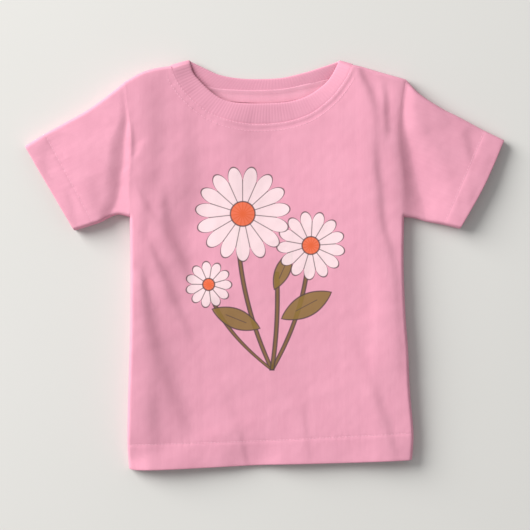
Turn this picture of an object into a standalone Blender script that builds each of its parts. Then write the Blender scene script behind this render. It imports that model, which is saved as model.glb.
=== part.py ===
"""An infant's short-sleeved T-shirt, about 12 months, lying face up on a flat surface.

Metres, +Z up. The hem is towards -Y, the neck towards +Y, and the origin is on the surface under the
middle of the shirt. Left and right are the wearer's, so the left sleeve is at +X. The cloth lies in two
layers: the lower one flat on the surface, the upper one over a shallow hollow, open at the neck, the cuffs
and the hem.
"""

import math

import bmesh
import bpy
import numpy as np

MM = 0.001

# Cloth
JERSEY = 1.0 * MM
HEM_FOLD = 1.6 * MM
RIB = 2.2 * MM
TAPE = 0.8 * MM
GAP = 0.5 * MM
SEAM_GAP = 0.7 * MM
COLLAR_GAP = 1.3 * MM

# How high the layers lie
SIDE_SEAM_HEIGHT = 4.0 * MM
ROLL = 7.0 * MM
TAPE_WIDTH = 9.0 * MM
COLLAR_FOLD_RISE = 3.0

# Plan points, in millimetres, from the wearer's right (-X) to the left (+X)
PEAKS = ((-61.5, 167.6), (60.9, 167.3))
NECK_POINTS = ((-77.0, 163.6), (71.6, 164.7))
SHOULDER_TIPS = ((-114.4, 150.8), (116.0, 152.6))
ARMPITS = ((-110.9, 39.4), (114.6, 39.5))
CUFF_TOPS = ((-197.1, 97.8), (197.1, 102.6))
CUFF_BOTTOMS = ((-156.4, 28.1), (160.4, 29.5))
STITCH_TOPS = ((-180.5, 107.9), (180.5, 110.6))
STITCH_BOTTOMS = ((-140.0, 33.2), (146.6, 33.0))
HEM_CORNERS = ((-111.4, -167.6), (121.2, -160.0))
HEM_STITCH = ((-112.7, -147.6), (0.0, -144.2), (122.3, -137.6))
HEM_EDGE = (HEM_CORNERS[0], (-96.0, -168.5), (0.0, -164.4), (70.0, -162.4), HEM_CORNERS[1])

# Lines that join them
SHOULDERS = (
    (SHOULDER_TIPS[0], (-101.9, 157.9), (-90.0, 161.6), NECK_POINTS[0]),
    (NECK_POINTS[1], (80.0, 163.0), (96.0, 158.2), SHOULDER_TIPS[1]),
)
NECK_SEAM = (
    NECK_POINTS[0], (-71.0, 150.5), (-59.5, 136.5), (-45.6, 126.1), (-30.8, 119.8), (-13.4, 116.4),
    (3.9, 116.4), (21.1, 118.7), (38.4, 125.0), (52.8, 136.0), (60.1, 144.1), (67.5, 155.0),
    NECK_POINTS[1],
)
NECK_EDGE = (
    PEAKS[0], (-59.0, 158.7), (-54.3, 152.5), (-43.8, 142.3), (-32.7, 135.6), (-20.0, 133.2), (0.0, 132.9),
    (18.0, 134.0), (32.4, 137.6), (44.1, 144.5), (52.8, 152.6), (58.3, 161.6), PEAKS[1],
)
BACK_SEAM = (
    NECK_POINTS[0], (-66.0, 153.0), (-44.5, 145.7), (-19.4, 143.3), (9.6, 143.7), (32.6, 147.8),
    (62.0, 156.0), NECK_POINTS[1],
)
BACK_EDGE = (
    PEAKS[0], (-48.0, 161.2), (-36.4, 156.3), (-19.2, 153.5), (0.0, 153.2), (15.3, 154.3),
    (32.5, 158.3), (44.1, 161.8), PEAKS[1],
)
SIDES = (
    (HEM_CORNERS[0], HEM_STITCH[0], (-112.3, -110.9), (-110.6, -55.4), (-110.3, 0.0), ARMPITS[0]),
    (HEM_CORNERS[1], HEM_STITCH[2], (119.2, -100.0), (117.9, -69.3), (115.8, -41.6), (114.2, 0.0),
     ARMPITS[1]),
)
ARMHOLES = (
    (SHOULDER_TIPS[0], (-112.8, 134.2), (-110.3, 117.5), (-109.1, 99.5), (-109.6, 84.3), (-110.8, 68.0),
     ARMPITS[0]),
    (SHOULDER_TIPS[1], (112.3, 132.0), (110.2, 114.8), (110.6, 99.5), (112.6, 82.0), (114.2, 66.0),
     ARMPITS[1]),
)
SLEEVE_TOPS = (
    (SHOULDER_TIPS[0], (-128.2, 139.7), (-145.6, 127.2), (-165.0, 116.4), STITCH_TOPS[0]),
    (SHOULDER_TIPS[1], (127.8, 140.4), (145.9, 128.6), (159.7, 121.7), STITCH_TOPS[1]),
)
SLEEVE_BOTTOMS = (
    (ARMPITS[0], (-120.0, 41.3), (-126.9, 39.2), (-133.8, 35.5), STITCH_BOTTOMS[0]),
    (ARMPITS[1], (124.0, 38.2), (132.0, 35.8), STITCH_BOTTOMS[1]),
)

# Height of the upper layer's outside, in millimetres, at places across the shirt
LOFT_SPREAD = 42.0
LOFTS = (
    (0, 60, 15.5), (0, -60, 15.5), (0, -168, 11.0), (60, -165, 11.5), (-60, -168, 10.5),
    (118, -160, 9.5), (-108, -167, 8.5), (-95, -60, 13.5), (100, -60, 13.5), (0, 118, 13.5),
    (-95, 155, 11.0), (95, 155, 11.0), (-105, 105, 13.0), (105, 105, 13.0), (-150, 85, 11.0),
    (150, 85, 11.0), (-180, 60, 10.0), (180, 62, 10.0),
)

# Pleats: the line down the middle of each one's falling face, its half width at both ends, and its drop, in
# millimetres. The cloth stands up on the -X side of the line and sinks on the other.
PLEATS = (
    (((-83, 56), (-77, 26), (-67, -10)), (5, 9), 3.2),
    (((-94, 15), (-80, -15), (-64, -51)), (5, 8), 2.2),
    (((-100, -10), (-95, -35), (-86, -78), (-67, -121)), (5, 11), 3.8),
    (((77, 162), (86, 138), (89, 108), (95, 64), (97, 39), (109, 10)), (4, 6), 2.6),
    (((73, -75), (86, -105), (100, -138), (112, -165)), (6, 7), 2.8),
    (((100, -34), (111, -84), (114, -98)), (6, 6), 1.8),
    (((-31, -111), (-19, -141), (-13, -180)), (6, 7), 2.6),
    (((31, -111), (35, -135), (38, -175)), (6, 7), 1.4),
)

# Where the sleeve sinks beside the armhole: how deep, and how far out from the seam
TUCK_DEPTHS = (4.4, 4.3)
TUCK_NEAR = 5.0
TUCK_FAR = 15.0

ROLL_STEPS = 3
SLEEVE_ROWS = np.array((0, 2.5, 5, 9, 14, 21, 30, 40, 54, 68)) / 68
CLOTH_COLOUR = (0.80, 0.37, 0.49, 1.0)
TAPE_COLOUR = (0.84, 0.42, 0.54, 1.0)


def smooth(points, count):
    """count points, evenly spaced, on a smooth curve through the given ones (Catmull-Rom)."""
    p = np.array(points, float)
    ends = np.vstack([2 * p[0] - p[1], p, 2 * p[-1] - p[-2]])
    t = np.linspace(0, 1, 9)[:-1, None]
    parts = []
    for a, b, c, d in zip(ends[:-3], ends[1:-2], ends[2:-1], ends[3:]):
        square, cube = 2 * a - 5 * b + 4 * c - d, 3 * b - a - 3 * c + d
        parts.append(0.5 * (2 * b + (c - a) * t + square * t**2 + cube * t**3))
    return resample(np.vstack([*parts, p[-1:]]), np.linspace(0, 1, count))


def resample(line, shares):
    """Points on a polyline at the given shares of its length."""
    along = np.concatenate([[0], np.cumsum(np.linalg.norm(np.diff(line, axis=0), axis=1))])
    at = np.asarray(shares) * along[-1]
    return np.stack([np.interp(at, along, line[:, k]) for k in range(line.shape[1])], axis=1)


def trimmed(line, distance):
    """A polyline without its first stretch."""
    length = np.linalg.norm(np.diff(line, axis=0), axis=1).sum()
    return resample(line, np.linspace(distance / length, 1, len(line)))


def nearest(points, line):
    """For plan points, the distance to a polyline, + on the left of its direction, and the share along it."""
    flat = points.reshape(-1, 2)
    start, run = line[:-1], np.diff(line, axis=0)
    length = np.linalg.norm(run, axis=1)
    from_start = flat[:, None] - start
    t = np.clip((from_start * run).sum(-1) / length**2, 0, 1)
    off = from_start - t[..., None] * run
    distance = np.linalg.norm(off, axis=-1)
    best = distance.argmin(1)
    row = np.arange(len(flat))
    side = np.sign(run[best, 0] * off[row, best, 1] - run[best, 1] * off[row, best, 0])
    along = (np.concatenate([[0], np.cumsum(length)])[best] + t[row, best] * length[best]) / length.sum()
    shape = points.shape[:-1]
    return (distance[row, best] * side).reshape(shape), along.reshape(shape)


def closed_edges():
    """The lines where the two layers are joined: sides, sleeves and shoulders, but no opening."""
    lines = []
    for side in (0, 1):
        cuff_end, top_end = CUFF_BOTTOMS[side], CUFF_TOPS[side]
        lines.append(smooth(SIDES[side], 40))
        lines.append(smooth((*SLEEVE_BOTTOMS[side], cuff_end), 20))
        lines.append(smooth((*SLEEVE_TOPS[side], top_end), 24))
        lines.append(smooth(SHOULDERS[side], 12))
        lines.append(np.array((NECK_POINTS[side], PEAKS[side]), float))
    return lines


EDGES = closed_edges()


def rolled(plan):
    """0 on a closed edge and 1 from ROLL inwards, along a quarter of an ellipse."""
    distance = np.min([abs(nearest(plan, line)[0]) for line in EDGES], axis=0)
    share = np.clip(distance * MM / ROLL, 0, 1)
    return np.sqrt(1 - (1 - share) ** 2)


def loft(plan):
    """The smooth height of the upper layer, a weighted mean of the named ones."""
    places = np.array(LOFTS, float)
    square = ((plan[..., None, :] - places[:, :2]) ** 2).sum(-1)
    weight = np.exp(-square / (2 * LOFT_SPREAD**2))
    return (weight * places[:, 2]).sum(-1) / weight.sum(-1)


def pleated(plan):
    """Height that the pleats add or take, in millimetres."""
    height = np.zeros(plan.shape[:-1])
    for path, (first, last), drop in PLEATS:
        line = smooth(path, 16)
        offset, along = nearest(plan, line)
        width = first + (last - first) * along
        past = np.clip(np.minimum(along, 1 - along) * 4, 0, 1)
        fade = 0.35 + 0.65 * past * past * (3 - 2 * past)
        height -= drop * fade * (offset / width) * np.exp(0.5 - (offset / width) ** 2 / 2)
    return height


def tucked(plan, side):
    """How far the sleeve sinks beside the armhole, in millimetres."""
    offset, along = nearest(plan, smooth(ARMHOLES[side], 24))
    out = np.clip(abs(offset) / TUCK_NEAR, 0, 1)
    near = out * out * (3 - 2 * out)
    far = np.exp(-(np.maximum(abs(offset) - TUCK_NEAR, 0) / TUCK_FAR) ** 2)
    down = np.clip((along - 0.2) / 0.5, 0, 1)
    return TUCK_DEPTHS[side] * near * far * down * down * (3 - 2 * down)


def upper(plan, raised=0.0, side=None):
    """The outside of the upper layer as 3-D points. side is given on a sleeve."""
    height = loft(plan) + pleated(plan)
    if side is not None:
        height = height - tucked(plan, side)
    z = SIDE_SEAM_HEIGHT + (height * MM + raised - SIDE_SEAM_HEIGHT) * rolled(plan)
    return np.concatenate([plan * MM, z[..., None]], axis=-1)


def lower(plan):
    """The outside of the lower layer: flat on the surface, rolled up at closed edges."""
    z = SIDE_SEAM_HEIGHT * (1 - rolled(plan))
    return np.concatenate([plan * MM, z[..., None]], axis=-1)


def roll_offsets():
    """Distances in from a rolled edge, in millimetres, closer together where it turns down."""
    return ROLL / MM * (1 - np.cos(np.linspace(0, math.pi / 2, ROLL_STEPS + 1)))


def across(x_left, x_right, shares):
    return x_left + shares * (x_right - x_left)


def side_line(side):
    """A function that gives the x of the body's side and armhole, at a height up the shirt."""
    line = np.vstack([smooth(SIDES[side], 40), smooth(ARMHOLES[side], 24)[::-1][1:]])
    order = np.argsort(line[:, 1])
    return lambda y: np.interp(y, line[order, 1], line[order, 0])


def body_top(neck_line, shoulder_count, neck_count):
    """Points along a body panel's top: shoulder, neck seam, shoulder."""
    first, neck, last = smooth(SHOULDERS[0], 60), smooth(neck_line, 80), smooth(SHOULDERS[1], 60)
    start, length = roll_offsets(), math.dist(first[0], first[-1])
    shares = np.concatenate([start / length, np.linspace(start[-1] / length, 1, shoulder_count)[1:]])
    start = start / np.linalg.norm(np.diff(neck, axis=0), axis=1).sum()
    middle = np.linspace(start[-1], 1 - start[-1], neck_count)
    round_neck = resample(neck, np.concatenate([start[:-1], middle, 1 - start[-2::-1]]))
    return np.vstack([resample(first, shares), round_neck[1:-1], resample(last, 1 - shares[::-1])])


def body_plan(top, bottom_line, row_count):
    """A grid of plan points between a bottom line and the top points, row 0 at the bottom."""
    left, right = side_line(0), side_line(1)
    top_share = (top[:, 0] - left(top[:, 1])) / (right(top[:, 1]) - left(top[:, 1]))
    bottom = smooth(bottom_line, 60)
    rim = roll_offsets() / (bottom[-1, 0] - bottom[0, 0])
    middle = np.linspace(rim[-1], 1 - rim[-1], len(top) - 2 * ROLL_STEPS)
    even = np.concatenate([rim[:-1], middle, 1 - rim[-2::-1]])
    bottom_y = np.interp(across(bottom[0, 0], bottom[-1, 0], even), bottom[:, 0], bottom[:, 1])
    offsets = roll_offsets()[::-1]
    rows = []
    for t in np.linspace(0, 1, row_count):
        y = across(bottom_y, top[:, 1] - offsets[0], t)
        rows.append(np.stack([across(left(y), right(y), across(even, top_share, t * t)), y], axis=-1))
    for offset in offsets[1:]:
        y = top[:, 1] - offset
        rows.append(np.stack([across(left(y), right(y), top_share), y], axis=-1))
    return np.array(rows)


def shifted(plan, direction, distance):
    """Plan points moved along a direction, in millimetres, to leave a gap."""
    return plan + np.asarray(direction) / np.linalg.norm(direction) * distance / MM


def normals(grid, cyclic):
    """The unit normal at each point of a grid. It doesn't lean over an open border."""
    ring = np.concatenate([grid, grid[:, :1]], axis=1) if cyclic else grid
    face = np.cross(ring[1:, 1:] - ring[:-1, :-1], ring[1:, :-1] - ring[:-1, 1:])
    face /= np.maximum(np.linalg.norm(face, axis=-1, keepdims=True), 1e-12)
    face = np.pad(face, ((1, 1), (0, 0), (0, 0)))
    around = np.pad(face, ((0, 0), (1, 1), (0, 0)))
    face = np.concatenate([face[:, -1:], face], axis=1) if cyclic else around
    normal = face[1:, 1:] + face[:-1, 1:] + face[1:, :-1] + face[:-1, :-1]
    inside = rolled(grid[..., :2] / MM)[..., None]
    borders = [(np.s_[0], grid[1] - grid[0]), (np.s_[-1], grid[-1] - grid[-2])]
    if not cyclic:
        borders += [(np.s_[:, 0], grid[:, 1] - grid[:, 0]), (np.s_[:, -1], grid[:, -1] - grid[:, -2])]
    for place, direction in borders:
        level = direction * (1, 1, 0)
        level /= np.maximum(np.linalg.norm(level, axis=-1, keepdims=True), 1e-12)
        normal[place] -= inside[place] * (normal[place] * level).sum(-1, keepdims=True) * level
    return normal / np.maximum(np.linalg.norm(normal, axis=-1, keepdims=True), 1e-12)


def cloth(name, outside, inside, material, cyclic=False):
    """One closed sheet between two grids of points that run the same way, as one object."""
    rows, columns = outside.shape[:2]
    mesh = bmesh.new()
    out = [[mesh.verts.new(p) for p in row] for row in outside]
    into = [[mesh.verts.new(p) for p in row] for row in inside]
    pairs = [(j, (j + 1) % columns) for j in range(columns if cyclic else columns - 1)]
    for i in range(rows - 1):
        for j, k in pairs:
            mesh.faces.new((out[i][j], out[i][k], out[i + 1][k], out[i + 1][j]))
            mesh.faces.new((into[i + 1][j], into[i + 1][k], into[i][k], into[i][j]))
    for j, k in pairs:
        mesh.faces.new((out[0][k], out[0][j], into[0][j], into[0][k]))
        mesh.faces.new((out[-1][j], out[-1][k], into[-1][k], into[-1][j]))
    for i in range(0 if cyclic else rows - 1):
        mesh.faces.new((out[i][0], out[i + 1][0], into[i + 1][0], into[i][0]))
        mesh.faces.new((out[i + 1][-1], out[i][-1], into[i][-1], into[i + 1][-1]))
    bmesh.ops.recalc_face_normals(mesh, faces=mesh.faces)
    data = bpy.data.meshes.new(name)
    mesh.to_mesh(data)
    mesh.free()
    data.materials.append(material)
    data.shade_smooth()
    data.set_sharp_from_angle(angle=math.radians(50))
    obj = bpy.data.objects.new(name, data)
    bpy.context.scene.collection.objects.link(obj)
    return obj


def layer(name, grid, thickness, material, upper_layer):
    """A body panel or hem: an outside, an offset inside, and a rolled edge that stops short of the seam."""
    half = SEAM_GAP / 2
    outside, inside = grid.copy(), grid + normals(grid, False) * (-thickness if upper_layer else thickness)
    for points in (outside, inside):
        if upper_layer:
            points[..., 2] = np.maximum(points[..., 2], SIDE_SEAM_HEIGHT + half)
        else:
            points[..., 2] = np.minimum(points[..., 2], SIDE_SEAM_HEIGHT - half)
    return cloth(name, outside, inside, material)


def tube(name, grid, thickness, material, side):
    """A sleeve or cuff: a closed ring of cloth, open at both ends."""
    sign = 1 if side == 0 else -1
    return cloth(name, grid, grid + normals(grid, True) * thickness * sign, material, cyclic=True)


def knit(name, colour):
    """A matt knitted cotton."""
    material = bpy.data.materials.new(name)
    material.use_nodes = True
    shader = material.node_tree.nodes["Principled BSDF"]
    shader.inputs["Base Color"].default_value = colour
    shader.inputs["Roughness"].default_value = 0.9
    shader.inputs["Metallic"].default_value = 0.0
    return material


def make_body(jersey):
    """The front and back panels, and the turned-up hem below each."""
    top = body_top(NECK_SEAM, 4, 21)
    front = body_plan(top, HEM_STITCH, 30)
    layer("front_panel", upper(front), JERSEY, jersey, True)

    back_top = body_top(BACK_SEAM, 4, 15)
    back = body_plan(back_top, HEM_STITCH, 18)
    layer("back_panel", lower(back), JERSEY, jersey, False)

    share_rows = np.array([0.0, 0.5, 1.0])[:, None, None]
    for name, panel in (("hem_front", front), ("hem_back", back)):
        stitch = shifted(panel[0], (0, -1), GAP)
        share = (panel[0][:, 0] - panel[0][0, 0]) / (panel[0][-1, 0] - panel[0][0, 0])
        edge_line = smooth(HEM_EDGE, 60)
        edge_x = across(edge_line[0, 0], edge_line[-1, 0], share)
        edge = np.stack([edge_x, np.interp(edge_x, edge_line[:, 0], edge_line[:, 1])], axis=-1)
        plan = edge + share_rows * (stitch - edge)
        if panel is front:
            layer(name, upper(plan, raised=0.4 * MM), HEM_FOLD, jersey, True)
        else:
            layer(name, lower(plan), HEM_FOLD, jersey, False)


def sleeve_plan(start_line, end_line, top_line, bottom_line, shares, rows):
    """A Coons patch of plan points: row 0 on the start line, columns from the top edge to the underside."""
    start, end = resample(start_line, shares), resample(end_line, shares)
    top, bottom = resample(top_line, rows), resample(bottom_line, rows)
    t, q = rows[:, None, None], shares[None, :, None]
    ruled = (1 - t) * start + t * end
    straight_top, straight_bottom = (1 - t) * start[0] + t * end[0], (1 - t) * start[-1] + t * end[-1]
    return ruled + (1 - q) * (top[:, None] - straight_top) + q * (bottom[:, None] - straight_bottom)


def tube_of(plan, side, raised=0.0):
    """The upper layer across, then the lower layer back, as rings round a sleeve."""
    over = upper(plan, raised, side)
    under = lower(plan)[:, -2:0:-1]
    return np.concatenate([over, under], axis=1)


def make_sleeve(side, name, jersey):
    """One sleeve, from the armhole seam to its stitch line, and the turned-up cuff beyond."""
    top = trimmed(smooth(SLEEVE_TOPS[side], 60), 1.4)
    bottom = trimmed(smooth(SLEEVE_BOTTOMS[side], 60), 1.0)
    armhole, share = smooth(ARMHOLES[side], 60), np.linspace(0, 1, 60)[:, None]
    armhole = armhole + (1 - share) * (top[0] - armhole[0]) + share * (bottom[0] - armhole[-1])
    stitch = np.array((STITCH_TOPS[side], STITCH_BOTTOMS[side]), float)
    cuff = np.array((CUFF_TOPS[side], CUFF_BOTTOMS[side]), float)
    width = math.dist(*stitch)
    rim = roll_offsets() / width
    shares = np.concatenate([rim, np.linspace(rim[-1], 1 - rim[-1], 9)[1:-1], 1 - rim[::-1]])
    plan = sleeve_plan(armhole, stitch, top, bottom, shares, SLEEVE_ROWS)
    tube(f"sleeve_{name}", tube_of(plan, side), JERSEY, jersey, side)

    along = cuff.mean(0) - stitch.mean(0)
    start = shifted(stitch, along, GAP)
    rows = np.array([0.0, 0.5, 1.0])[:, None, None]
    first, last = resample(start, shares), resample(cuff, shares)
    cuff_plan = first + rows * (last - first)
    tube(f"cuff_{name}", tube_of(cuff_plan, side, 0.4 * MM), HEM_FOLD, jersey, side)


def band_line(points, count, side_height, middle_height):
    """One line round the neck as 3-D points. It bends over the shoulder folds and rises to the middle."""
    shares = (1 - np.cos(np.linspace(0, math.pi, count))) / 2
    plan = resample(smooth(points, 80), shares)
    folds = [np.array((NECK_POINTS[side], PEAKS[side]), float) for side in (0, 1)]
    distance = np.min([abs(nearest(plan, line)[0]) for line in folds], axis=0)
    bend = np.sqrt(1 - (1 - np.clip(distance * MM / ROLL, 0, 1)) ** 2)
    height = side_height + (middle_height - side_height) * np.sin(math.pi * shares) ** 0.8
    fold_height = SIDE_SEAM_HEIGHT / MM + (COLLAR_FOLD_RISE if points in (NECK_EDGE, BACK_EDGE) else 0)
    return np.column_stack([plan, fold_height + (height - fold_height) * bend]) * MM


def make_collar(rib):
    """The rib round the neck: over the front panel, folded at the shoulders, standing up at the back."""
    seam = band_line(NECK_SEAM, 35, 10.5, 13.0), band_line(BACK_SEAM, 27, 1.4, 1.4)
    edge = band_line(NECK_EDGE, 35, 11.5, 15.3), band_line(BACK_EDGE, 27, 3.6, 11.0)
    seam = np.vstack([seam[0], seam[1][-2:0:-1]])
    edge = np.vstack([edge[0], edge[1][-2:0:-1]])
    run = edge - seam
    seam = seam + run / np.linalg.norm(run, axis=1, keepdims=True) * COLLAR_GAP
    share = np.linspace(0, 1, 5)[:, None, None]
    grid = seam + share * (edge - seam)
    grid[..., 2] += 0.5 * MM * np.sin(math.pi * share[..., 0])
    half = normals(grid, True) * RIB / 2
    cloth("collar", grid + half, grid - half, rib, cyclic=True)


def make_tape(tape):
    """The strip that covers the back neck seam, inside."""
    seam = smooth(BACK_SEAM, 41)[6:-6:2]
    top = shifted(seam, (0, -1), 0.6 * MM)
    rows = np.array([1.0, 0.5, 0.0])[:, None, None]
    plan = top + rows * np.array((0, -TAPE_WIDTH / MM))
    under = np.concatenate([plan * MM, np.full((*plan.shape[:2], 1), JERSEY + GAP)], axis=-1)
    cloth("neck_tape", under + (0, 0, TAPE), under, tape)


def main():
    for obj in list(bpy.data.objects):
        bpy.data.objects.remove(obj)
    jersey, rib = knit("pink_jersey", CLOTH_COLOUR), knit("pink_rib", CLOTH_COLOUR)
    tape = knit("pink_tape", TAPE_COLOUR)
    make_body(jersey)
    make_sleeve(0, "right", jersey)
    make_sleeve(1, "left", jersey)
    make_collar(rib)
    make_tape(tape)


main()
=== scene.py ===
# %% [markdown]
# # A baby's T-shirt, laid flat
# The shirt is five pieces of knitted cotton: a front, a back, two sleeves and a ribbed neckband, with a
# narrow tape inside the neck. Each piece could be cut flat and dropped onto a floor by a cloth simulation,
# but a shirt that somebody has smoothed out by hand keeps the creases that the hand left. So each piece is
# a grid of points whose places are worked out from the shirt's own pattern lines, and the creases are drawn
# one by one.

# %% Load the frame
import math

import bpy
import numpy as np
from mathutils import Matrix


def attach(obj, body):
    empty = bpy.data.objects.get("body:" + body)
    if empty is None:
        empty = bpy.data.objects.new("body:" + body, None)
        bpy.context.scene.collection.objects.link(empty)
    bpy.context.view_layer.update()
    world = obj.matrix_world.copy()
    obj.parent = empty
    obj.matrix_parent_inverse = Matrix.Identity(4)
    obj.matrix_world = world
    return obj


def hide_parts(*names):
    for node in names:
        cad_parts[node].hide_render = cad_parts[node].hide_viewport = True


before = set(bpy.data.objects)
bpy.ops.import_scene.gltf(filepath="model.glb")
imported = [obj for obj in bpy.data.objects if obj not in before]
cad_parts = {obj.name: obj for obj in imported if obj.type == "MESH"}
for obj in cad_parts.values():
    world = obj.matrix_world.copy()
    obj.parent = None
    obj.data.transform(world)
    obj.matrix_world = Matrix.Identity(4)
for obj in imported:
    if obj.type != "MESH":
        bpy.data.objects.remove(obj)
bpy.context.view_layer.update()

print("nodes:", ", ".join(sorted(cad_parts)))

# %% [markdown]
# ## The pattern lines
# A tailor starts with the outline of each piece, as points that a smooth curve runs through. These are the
# same lines as in the solid model, in millimetres seen from above: the neck is towards +Y and the wearer's
# left is towards +X. Of each pair, the first is the wearer's right.

# %% Pattern points
MM = 0.001
PEAKS = ((-61.5, 167.6), (60.9, 167.3))
NECK_POINTS = ((-77.0, 163.6), (71.6, 164.7))
SHOULDER_TIPS = ((-114.4, 150.8), (116.0, 152.6))
ARMPITS = ((-110.9, 39.4), (114.6, 39.5))
CUFF_TOPS = ((-197.1, 97.8), (197.1, 102.6))
CUFF_BOTTOMS = ((-156.4, 28.1), (160.4, 29.5))
CUFF_STITCH_TOPS = ((-180.5, 107.9), (180.5, 110.6))
CUFF_STITCH_BOTTOMS = ((-140.0, 33.2), (146.6, 33.0))
CUFF_EDGES = ((CUFF_TOPS[0], CUFF_BOTTOMS[0]), (CUFF_TOPS[1], (180.4, 65.2), CUFF_BOTTOMS[1]))
HEM_CORNERS = ((-111.4, -167.6), (121.2, -160.0))
HEM_STITCH = ((-112.7, -147.6), (0.0, -144.2), (122.3, -137.6))
HEM_EDGE = (HEM_CORNERS[0], (-96.0, -168.5), (0.0, -164.4), (70.0, -162.4), HEM_CORNERS[1])
SHOULDERS = (
    (SHOULDER_TIPS[0], (-101.9, 157.9), (-90.0, 161.6), NECK_POINTS[0]),
    (NECK_POINTS[1], (80.0, 163.0), (96.0, 158.2), SHOULDER_TIPS[1]),
)
NECK_SEAM = (
    NECK_POINTS[0], (-71.0, 150.5), (-59.5, 136.5), (-45.6, 126.1), (-30.8, 119.8), (-13.4, 116.4),
    (3.9, 116.4), (21.1, 118.7), (38.4, 125.0), (52.8, 136.0), (60.1, 144.1), (67.5, 155.0),
    NECK_POINTS[1],
)
NECK_EDGE = (
    PEAKS[0], (-59.0, 158.7), (-54.3, 152.5), (-43.8, 142.3), (-32.7, 135.6), (-20.0, 133.2), (0.0, 132.9),
    (18.0, 134.0), (32.4, 137.6), (44.1, 144.5), (52.8, 152.6), (58.3, 161.6), PEAKS[1],
)
BACK_SEAM = (
    NECK_POINTS[0], (-66.0, 153.0), (-44.5, 145.7), (-19.4, 143.3), (9.6, 143.7), (32.6, 147.8),
    (62.0, 156.0), NECK_POINTS[1],
)
BACK_EDGE = (
    PEAKS[0], (-48.0, 161.2), (-36.4, 156.3), (-19.2, 153.5), (0.0, 153.2), (15.3, 154.3),
    (32.5, 158.3), (44.1, 161.8), PEAKS[1],
)
SIDES = (
    (HEM_CORNERS[0], HEM_STITCH[0], (-112.3, -110.9), (-110.6, -55.4), (-110.3, 0.0), ARMPITS[0]),
    (HEM_CORNERS[1], HEM_STITCH[2], (119.2, -100.0), (117.9, -69.3), (115.8, -41.6), (114.2, 0.0),
     ARMPITS[1]),
)
ARMHOLES = (
    (SHOULDER_TIPS[0], (-112.8, 134.2), (-110.3, 117.5), (-109.1, 99.5), (-109.6, 84.3), (-110.8, 68.0),
     ARMPITS[0]),
    (SHOULDER_TIPS[1], (112.3, 132.0), (110.2, 114.8), (110.6, 99.5), (112.6, 82.0), (114.2, 66.0),
     ARMPITS[1]),
)
SLEEVE_TOPS = (
    (SHOULDER_TIPS[0], (-128.2, 139.7), (-145.6, 127.2), (-165.0, 116.4), CUFF_STITCH_TOPS[0]),
    (SHOULDER_TIPS[1], (127.8, 140.4), (145.9, 128.6), (159.7, 121.7), CUFF_STITCH_TOPS[1]),
)
SLEEVE_BOTTOMS = (
    (ARMPITS[0], (-120.0, 41.3), (-126.9, 39.2), (-133.8, 35.5), CUFF_STITCH_BOTTOMS[0]),
    (ARMPITS[1], (124.0, 38.2), (132.0, 35.8), CUFF_STITCH_BOTTOMS[1]),
)
print("chest", round(ARMPITS[1][0] - ARMPITS[0][0]), "mm, cuff to cuff", round(2 * CUFF_TOPS[1][0]), "mm")

# %% [markdown]
# A few points make a line by a Catmull-Rom curve, which passes through every one of them. A line is then
# walked at even steps, and later on every crease needs to know how far a point of the cloth is from a line,
# and on which side of it.

# %% Lines
def smooth(points, count):
    """count points, evenly spaced, on a smooth curve through the given ones (Catmull-Rom)."""
    p = np.array(points, float)
    ends = np.vstack([2 * p[0] - p[1], p, 2 * p[-1] - p[-2]])
    t = np.linspace(0, 1, 9)[:-1, None]
    parts = []
    for a, b, c, d in zip(ends[:-3], ends[1:-2], ends[2:-1], ends[3:]):
        square, cube = 2 * a - 5 * b + 4 * c - d, 3 * b - a - 3 * c + d
        parts.append(0.5 * (2 * b + (c - a) * t + square * t**2 + cube * t**3))
    return resample(np.vstack([*parts, p[-1:]]), np.linspace(0, 1, count))


def run_of(line):
    """How far along a line each of its points is."""
    return np.concatenate([[0], np.cumsum(np.linalg.norm(np.diff(line, axis=0), axis=1))])


def resample(line, shares):
    """Points on a line at the given shares of its length."""
    along = run_of(line)
    return np.stack([np.interp(np.asarray(shares) * along[-1], along, line[:, k])
                     for k in range(line.shape[1])], axis=1)


def nearest(points, line):
    """The distance of plan points to a line, + on the left of its direction, and the share along it."""
    flat = points.reshape(-1, 2)
    start, run = line[:-1, :2], np.diff(line[:, :2], axis=0)
    length = np.linalg.norm(run, axis=1)
    from_start = flat[:, None] - start
    t = np.clip((from_start * run).sum(-1) / length**2, 0, 1)
    off = from_start - t[..., None] * run
    distance = np.linalg.norm(off, axis=-1)
    best, row = distance.argmin(1), np.arange(len(flat))
    side = np.sign(run[best, 0] * off[row, best, 1] - run[best, 1] * off[row, best, 0])
    along = (run_of(line[:, :2])[best] + t[row, best] * length[best]) / length.sum()
    return (distance[row, best] * side).reshape(points.shape[:-1]), along.reshape(points.shape[:-1])


def eased(x):
    """0 to 1 with soft ends."""
    x = np.clip(x, 0, 1)
    return x * x * (3 - 2 * x)


neck_round = sum(run_of(smooth(line, 80))[-1] for line in (NECK_SEAM, BACK_SEAM))
print("neckband seam", round(neck_round), "mm round")

# %% [markdown]
# ## How high the cloth lies
# A shirt laid on a table isn't a flat sheet. Its two layers are joined at the sides, and there the front
# rolls over and down to meet the back, half way up. That roll catches the light on one side of the shirt
# and throws a shadow on the other, so it is worth more than any texture. In between, the front rises and
# sinks a little.

# %% Roll and loft
SEAM_HEIGHT = 4.0
ROLL, ROUNDNESS = 3.4, 2.8
LOFT_SPREAD = 22.0
SIDE_POINTS, SHOULDER_POINTS = 90, 80
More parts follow.
